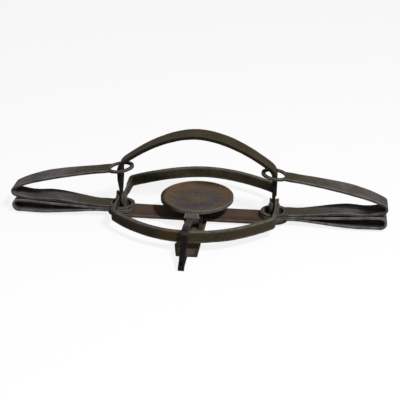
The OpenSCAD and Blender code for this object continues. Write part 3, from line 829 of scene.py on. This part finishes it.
def leaf_thickness(x):
    return LEAF_THICKNESS + LEAF_SWELL * along(NECK_X, NECK_X + SWELL_LENGTH, x)


def spring_line(low, high, bend, r, course):
    """Middle line of a spring, out along its lower leaf, round the bend and back along the upper one."""
    steps = 64
    bend_steps = 28
    low_curve = leaf_curve(low, bend, r, 1)
    high_curve = leaf_curve(high, bend, r, -1)
    if course:
        line = through([low_curve[0], *(Vector(p) for p in course), low_curve[3]], 7)
    else:
        line = [on_curve(low_curve, i / steps) for i in range(steps)]
    line += [on_bend(bend, r, lerp(low[3], high[3], i / bend_steps)) for i in range(bend_steps + 1)]
    return line + [on_curve(high_curve, 1 - i / steps) for i in range(1, steps + 1)]


def spring(name, side, low, high, bend, r, painted_shade_shares, course=()):
    """One bent spring: a flat eye, a leaf, the bend, a second leaf and its eye."""
    columns = 13
    verts, faces = [], []

    def eye(eye_z, slope):
        """Ring of an eye; returns the points that the leaf grows from."""
        rings = 3
        free_steps = 56
        reach = math.asin(NECK_WIDTH / 2 / EYE_R)
        joined = [math.asin(lerp(-1, 1, j / (columns - 1)) * NECK_WIDTH / 2 / EYE_R) for j in range(columns)]
        turns = joined + [lerp(reach, 2 * math.pi - reach, j / free_steps) for j in range(1, free_steps)]
        first = len(verts)
        for k in range(rings + 1):
            rad = lerp(EYE_HOLE_R, EYE_R, k / rings)
            for turn in turns:
                x = rad * math.cos(turn)
                z = eye_z - x * math.tan(math.radians(slope))
                verts.append(Vector((side * (POST_X + x), rad * math.sin(turn), z)))
        count = len(turns)
        for k in range(rings):
            for j in range(count):
                n = (j + 1) % count
                a = first + k * count
                faces.append((a + j, a + n, a + count + n, a + count + j))
        outer = first + rings * count
        return [outer + j for j in range(columns)]

    rows = [eye(low[0], low[1])]
    for p in spring_line(low, high, bend, r, course)[2:-2]:
        free = ease(NECK_X + 20, NECK_X + 60, p.x)
        half = leaf_width(p.x) / 2 + LEAF_SWAY * free * noise.noise(Vector((side * p.x, p.y, 3)) / 30)
        row = []
        for j in range(columns):
            row.append(len(verts))
            verts.append(Vector((side * p.x, lerp(-half, half, j / (columns - 1)), p.y)))
        rows.append(row)
    rows.append(eye(high[0], high[1]))
    for a, b in zip(rows[:-1], rows[1:]):
        for j in range(columns - 1):
            faces.append((a[j], a[j + 1], b[j + 1], b[j]))
    piece = make(name, verts, faces, [0.0] * len(verts), spring_iron)
    mark_border(piece)
    full = LEAF_THICKNESS + LEAF_SWELL
    shares = piece.vertex_groups.new(name="thickness")
    for i, v in enumerate(verts):
        shares.add([i], 1.0 if v.z > RAISED_FROM else leaf_thickness(abs(v.x)) / full, "REPLACE")
    thick = piece.modifiers.new("thickness", "SOLIDIFY")
    thick.thickness = full * MM
    thick.vertex_group = shares.name
    thick.offset = 0
    thick.use_even_offset = True
    bevelled(piece, LEAF_EDGE, 50)
    settle(piece)
    piece.vertex_groups.clear()
    hammer(piece)
    smooth(piece)

    dark_from, strip, back_dark, side_dark, eye_dark = painted_shade_shares

    def painted_shade_and_black(p, n):
        """Painted shade: nearly black inside the bend, save a lit strip at its front; dark on the side faces.
        """
        far = abs(p.x)
        away = Vector((max(far - bend.x, 0), p.z - bend.y))
        inward = ease(0.2, 0.7, -away.normalized().dot(Vector((math.copysign(1, p.x) * n.x, n.z))))
        inside = 0.95 * inward * ease(dark_from, dark_from + 24, far)
        if p.z < bend.y:
            inside *= ease(strip[0], strip[1], p.y)
            border = ease(5, 13, p.y) * ease(175, 215, far) * inward
            inside = max(inside, back_dark * border)
        if far > NECK_X + 6:
            return max(inside, side_dark * ease(0.75, 0.95, abs(n.y)))
        eye_z, slope = high[:2] if p.z > (low[0] + high[0]) / 2 else low[:2]
        middle = eye_z - (far - POST_X) * math.tan(math.radians(slope))
        share = 0.95 if p.z < middle else lerp(eye_dark, 0.85, ease(0.2, 0.7, -n.x))
        return max(inside, share * ease(0.6, 0.9, math.hypot(n.x, n.y)))

    mark(piece, "painted_shade_and_black", painted_shade_and_black)
    return piece


def hammer(piece):
    """Shallow dents over a leaf, none at its eyes and its bend."""
    mesh = piece.data
    normals = [v.normal.copy() for v in mesh.vertices]
    for v, n in zip(mesh.vertices, normals):
        p = v.co / MM
        free = ease(NECK_X + 12, NECK_X + 50, abs(p.x)) * (1 - ease(BEND_FROM, BEND_TO, abs(p.x)))
        v.co += n * (LEAF_DENT * free * dents(p, LEAF_DENT_SIZE)) * MM


for word, side in (("left", -1), ("right", 1)):
    lower = spring(
        word + "_lower_spring", side, LOWER_BOTTOM_LEAF, LOWER_TOP_LEAF,
        LOWER_BEND, LOWER_BEND_R, LOWER_PAINTED_SHADE[word],
    )
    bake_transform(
        lower, "base", word + "_mid_leaves",
        start=(side * 0.287, 0, 0.01342), end=(side * 0.287, 0, 0.01358),
    )
    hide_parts(word + "_lower_spring_bottom_leaf", word + "_lower_spring_top_leaf")
    upper = spring(
        word + "_upper_spring", side, UPPER_BOTTOM_LEAF, UPPER_TOP_LEAF,
        UPPER_BEND, UPPER_BEND_R, UPPER_PAINTED_SHADE[word], MID_COURSE,
    )
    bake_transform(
        upper, word + "_mid_leaves", word + "_top_leaf",
        start=(side * 0.28692, 0, 0.0342), end=(side * 0.28748, 0, 0.0422),
    )
    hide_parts(word + "_upper_spring_bottom_leaf", word + "_upper_spring_top_leaf")


# Base bar and cross bar
def base_half(x):
    """Half width of the base bar, with its round pads."""
    past = abs(x) - POST_X
    if past >= 0:
        return math.sqrt(max(PAD_RADIUS ** 2 - past ** 2, 1.5))
    return lerp(BAR_WIDTH / 2, PAD_RADIUS, ease(-PAD_RADIUS, 0, past))


def base_bar():
    """Flat bar with round pads at its ends, uneven between the posts and even at the pads."""
    steps = 120
    between = [lerp(-POST_X, POST_X, i / steps) for i in range(steps + 1)]
    beyond = [POST_X + PAD_RADIUS * math.sin(math.radians(8 * i)) for i in range(1, 12)]
    middle_z = CROSS_THICKNESS + BAR_THICKNESS / 2
    stations = []
    for x in [-x for x in reversed(beyond)] + between + beyond:
        free = 1 - ease(POST_X - 34, POST_X - 22, abs(x))
        half = base_half(x) - BAR_SWAY * free * (0.5 + sway(x, 26, 4))
        centre = Vector((x, BAR_SWAY * free * sway(x, 40, 9), middle_z))
        stations.append((centre, Y, Z, half, BAR_THICKNESS / 2, BAR_CORNER, BAR_DENT * free))
    piece = forged_bar("base_bar_forged", stations, (16, 2), bar_iron, BAR_DENT_SIZE)
    smooth(piece)
    return piece


def pad_rim_shade(p, n):
    """Painted shade round the rims of the base bar's pads."""
    return 0.6 * ease(100, 110, abs(p.x)) * ease(0.3, 0.8, math.hypot(n.x, n.y))


base = base_bar()
mark(base, "painted_shade_and_black", pad_rim_shade)
place(base, "base", "rusted_bar", "base_bar")


def cross_left(y):
    """Reach of the cross bar to the left, with its bulge under the front jaw."""
    if y > BULGE_Y:
        return lerp(CROSS_BULGE, CROSS_LEFT, along(BULGE_Y, BULGE_Y + BULGE_FADE, y))
    return lerp(CROSS_BULGE, CROSS_LEFT, along(BULGE_Y, CROSS_FRONT, y))


def cross_bar():
    """Bar under the base bar, with the narrow tongue at its front."""
    rows = 90
    half_b = CROSS_THICKNESS / 2
    stations = []
    for i in range(rows + 1):
        y = lerp(CROSS_BACK, CROSS_FRONT, i / rows)
        free = 1 - ease(-74, -64, y)
        left = cross_left(y) - CROSS_SWAY * free * (0.5 + sway(y, 22, 2))
        right = CROSS_RIGHT - CROSS_SWAY * free * (0.5 + sway(y, 22, 6))
        centre = Vector(((right - left) / 2, y, half_b))
        stations.append((centre, X, Z, (right + left) / 2, half_b, CROSS_CORNER, CROSS_DENT * free))
    for y, half in TONGUE:
        stations.append((Vector((DOG_X, y, half_b)), X, Z, half, half_b, TONGUE_CORNER, 0))
    piece = forged_bar("cross_bar_forged", stations, (14, 2), bar_iron, BAR_DENT_SIZE, lowest=0.0)
    smooth(piece)
    return piece


def cross_shade_and_black(p, n):
    """Painted shade along the right edge of the front part, and nearly black on the tongue like the dog's
    foot.
    """
    edge = 0.7 * ease(10, 13.5, p.x) * (1 - ease(-116, -108, p.y))
    return max(edge, 0.9 * (1 - ease(-140, -133, p.y)))


cross = cross_bar()
mark(cross, "painted_shade_and_black", cross_shade_and_black)
place(cross, "base", "rusted_bar", "cross_bar")


# Knuckle at the end of the tongue, between the cheeks of the dog
def knuckle():
    half, r, bore_r, chamfer = KNUCKLE_HALF, DOG_EYE_R, KNUCKLE_BORE_R, KNUCKLE_CHAMFER
    profile = [
        (-half, bore_r), (-half, r - chamfer), (-half + chamfer, r),
        (half - chamfer, r), (half, r - chamfer), (half, bore_r),
    ]
    count = 56
    verts = []
    for j in range(count):
        turn = 2 * math.pi * j / count
        for x, out in profile:
            y = DOG_HINGE.x + out * math.cos(turn)
            z = DOG_HINGE.y + out * math.sin(turn)
            verts.append(Vector((DOG_X + x, y, z)))
    faces = turned_faces(count, len(profile), True)
    piece = make("dog_knuckle", verts, faces, [0.0] * len(verts), dog_iron)
    smooth(piece, 30)
    return piece


def knuckle_neck():
    half_a, half_b = KNUCKLE_NECK_HALF
    stations = []
    for y in KNUCKLE_NECK_Y:
        stations.append((Vector((DOG_X, y, CROSS_THICKNESS / 2)), X, Z, half_a, half_b, 0.3, 0))
    piece = forged_bar("dog_knuckle_neck", stations, (2, 2), dog_iron)
    smooth(piece, 30)
    return piece


for piece in (knuckle(), knuckle_neck()):
    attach(piece, "base")


# Pan
def dish_rise(r):
    return PAN_DEPTH * max((r - PAN_FLOOR_R) / (PAN_R - PAN_FLOOR_R), 0) ** PAN_CURVE


def pan_painted_shade(p, n):
    """Painted shade on the left of the rim and underneath."""
    flat = Vector((p.x, p.y))
    left = ease(0.60, 0.90, flat.normalized().dot(Vector((-0.93, -0.37))))
    return max(0.9 * left * ease(51, 55, flat.length), 0.5 * ease(0.5, 0.9, -n.z))


def pan():
    """Dished pan with a turned-down lip, uneven from the hammer."""
    floor_z = PAN_HEIGHT - PAN_DEPTH
    profile = [(r, floor_z + dish_rise(r), 0) for r in PAN_RINGS]
    profile += PAN_RIM
    profile += [(r, floor_z + dish_rise(r) - PAN_SHEET, 0) for r in reversed(PAN_RINGS[:-1])]
    count = 144
    verts, edge = [], []
    for j in range(count):
        turn = 2 * math.pi * j / count
        round_about = Vector((math.cos(turn), math.sin(turn), 0))
        wave = noise.noise(round_about * 2.2) + 0.5 * noise.noise(round_about * 5.1)
        for r, z, share in profile:
            out = ease(40, 57, r)
            p = round_about * (r - out * RIM_SWAY * (0.6 + wave)) + Z * z
            dent = PAN_DENT * dents(p, PAN_DENT_SIZE) * (1 - 0.5 * out)
            p.z += dent + out * (RIM_WAVE * wave - RIM_WAVE)
            verts.append(p)
            edge.append(share)
    n = len(profile)
    faces = turned_faces(count, n, False)
    faces.append(tuple(j * n for j in range(count)))
    faces.append(tuple(j * n + n - 1 for j in range(count)))
    piece = make("pan_forged", verts, faces, edge, pan_iron)
    smooth(piece, 50)
    mark(piece, "painted_shade_and_black", pan_painted_shade)
    return piece


place(pan(), "pan", "pan_iron", "pan_dish")


# Catch tab
def tab_half(z):
    """Half width of the tab: a neck, a flare and a narrower top."""
    if z < TAB_FLARE_Z:
        return lerp(TAB_NECK_HALF, TAB_FLARE_HALF, ease(TAB_FLARE_FROM, TAB_FLARE_Z, z))
    return lerp(TAB_FLARE_HALF, TAB_TOP_HALF, along(TAB_FLARE_Z, TAB_TOP_Z, z))


def catch_tab():
    line = softened(resampled([Vector(p) for p in TAB_COURSE], 0.4), 14)
    stations = []
    for p, h in zip(line, headings(line)):
        normal = Y * (-h.y) + Z * h.x
        stations.append((Vector((0, p.x, p.y)), X, normal, tab_half(p.y), TAB_THICKNESS / 2, 0.6, 0.1))
    piece = forged_bar("catch_tab_forged", stations, (10, 2), catch_iron, 8)
    smooth(piece)
    return piece


place(catch_tab(), "pan", "pan_iron", "catch_tab")


# Dog
def shank_black_and_shade(p, n):
    """Nearly black below the bend, its edges too: partly dark iron, partly painted shade."""
    return 0.8 * (1 - ease(-143, -139, p.y))


def dog():
    """Bent bar with a forked foot."""
    shank = (DOG_BEND - DOG_HINGE).normalized()
    line = softened(resampled([DOG_HINGE, DOG_BEND, DOG_NECK, DOG_TIP], 1.0), 8)
    stations = []
    for beyond, half_b in rounded_end(DOG_EYE_R):
        p = DOG_HINGE - shank * beyond
        normal = Y * (-shank.y) + Z * shank.x
        stations.append((Vector((DOG_X, p.x, p.y)), X, normal, DOG_FOOT_HALF, half_b, 0.5, 0))
    travelled = 0
    for i, (p, h) in enumerate(zip(line, headings(line))):
        if i:
            travelled += (p - line[i - 1]).length
        half_b = lerp(DOG_EYE_R, DOG_THICKNESS / 2, ease(2, 11, travelled))
        if p.x < DOG_BEND.x:
            half_a = lerp(DOG_FOOT_HALF, DOG_BEND_HALF, along(DOG_HINGE.x + CHEEK_R, DOG_BEND.x, p.x))
        else:
            half_a = lerp(DOG_BEND_HALF, DOG_ARM_HALF, along(DOG_NECK.x, 0, p.x))
        free = ease(14, 24, travelled)
        normal = Y * (-h.y) + Z * h.x
        stations.append((Vector((DOG_X, p.x, p.y)), X, normal, half_a, half_b, 0.7, DOG_DENT * free))
    piece = forged_bar("dog_forged", stations, (5, 3), dog_iron, 12)
    foot = Vector((DOG_X, DOG_HINGE.x, DOG_HINGE.y))
    drill(piece, [(foot, CHEEK_R, CHEEK_GAP), (foot, DOG_BORE_R, 20)])
    smooth(piece)
    mark(piece, "painted_shade_and_black", shank_black_and_shade)
    return piece


place(dog(), "dog", "dog_iron", "dog")

# Small forged pieces that keep their solid, with eased edges
# The pan's bracket, pin and stem take dark finishes, partly as painted shade under the pan.
FINISHES = {
    "left_jaw_post": post_iron, "right_jaw_post": post_iron,
    "left_hinge_pin": post_iron, "right_hinge_pin": post_iron, "pan_pin": bracket_iron,
    "cross_rivets": bar_iron, "post_rivets": bar_iron, "bracket_rivets": bar_iron,
    "pan_bracket": bracket_iron, "pan_stem": dog_iron,
    "pan_rivets": pan_iron, "tab_rivet": catch_iron, "dog_pin": dog_iron,
}
for node_name, finish in FINISHES.items():
    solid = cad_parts[node_name]
    solid.data.materials.clear()
    solid.data.materials.append(finish)
    bevelled(solid, LARGE_BEVEL if node_name in LARGE_SOLIDS else SMALL_BEVEL, 40)


# Floor, light and camera
def aimed(name, data, at, aim):
    """Lamp or camera that looks from one place at another."""
    made = bpy.data.objects.new(name, data)
    bpy.context.scene.collection.objects.link(made)
    made.location = at
    made.rotation_euler = (aim - at).to_track_quat("-Z", "Y").to_euler()
    return made


def bright_for_view(tree):
    """1 for rays that show the background to the camera or in a reflection."""
    path = tree.nodes.new("ShaderNodeLightPath")
    seen = maths(tree, "MAXIMUM", path.outputs["Is Camera Ray"], path.outputs["Is Glossy Ray"])
    return maths(tree, "MAXIMUM", seen, path.outputs["Is Transmission Ray"])


def floor():
    """Pale floor that looks white and keeps the object's shadow."""
    material, tree, bsdf = shader("pale_floor")
    path = tree.nodes.new("ShaderNodeLightPath")
    tree.links.new(spread(tree, path.outputs["Is Camera Ray"], 0, 1, 0.5, 0.9), bsdf.inputs["Base Color"])
    bsdf.inputs["Roughness"].default_value = 0.9
    bsdf.inputs["Specular IOR Level"].default_value = 0.0
    glow = add(tree, "ShaderNodeEmission", Color=(1, 1, 1, 1), Strength=1.0)
    mix = tree.nodes.new("ShaderNodeMixShader")
    tree.links.new(times(tree, bright_for_view(tree), FLOOR_GLOW), mix.inputs["Fac"])
    tree.links.new(bsdf.outputs["BSDF"], mix.inputs[1])
    tree.links.new(glow.outputs["Emission"], mix.inputs[2])
    tree.links.new(mix.outputs["Shader"], tree.nodes["Material Output"].inputs["Surface"])
    bpy.ops.mesh.primitive_plane_add(size=FLOOR_SIZE, location=(0, 0, -FLOOR_DROP))
    plane = bpy.context.object
    plane.name = "floor"
    plane.data.materials.append(material)


def surroundings():
    """White world at a plain level, and one soft lamp."""
    world = bpy.data.worlds.new("studio")
    bpy.context.scene.world = world
    world.use_nodes = True
    tree = world.node_tree
    background = tree.nodes["Background"]
    background.inputs["Color"].default_value = (1, 1, 1, 1)
    tree.links.new(spread(tree, bright_for_view(tree), 0, 1, WORLD_LIGHT, 1.0), background.inputs["Strength"])
    lamp = bpy.data.lights.new("key", "AREA")
    lamp.shape = "DISK"
    lamp.size = LAMP_SIZE
    lamp.energy = LAMP_POWER
    aimed("key", lamp, LAMP_AT, LAMP_AIM)


def camera():
    data = bpy.data.cameras.new("camera")
    data.lens = CAMERA_LENS
    data.sensor_width = CAMERA_SENSOR
    data.clip_end = CAMERA_REACH
    bpy.context.scene.camera = aimed("camera", data, CAMERA_AT, CAMERA_AIM)


floor()
surroundings()
camera()
bpy.context.scene.view_settings.view_transform = "Standard"
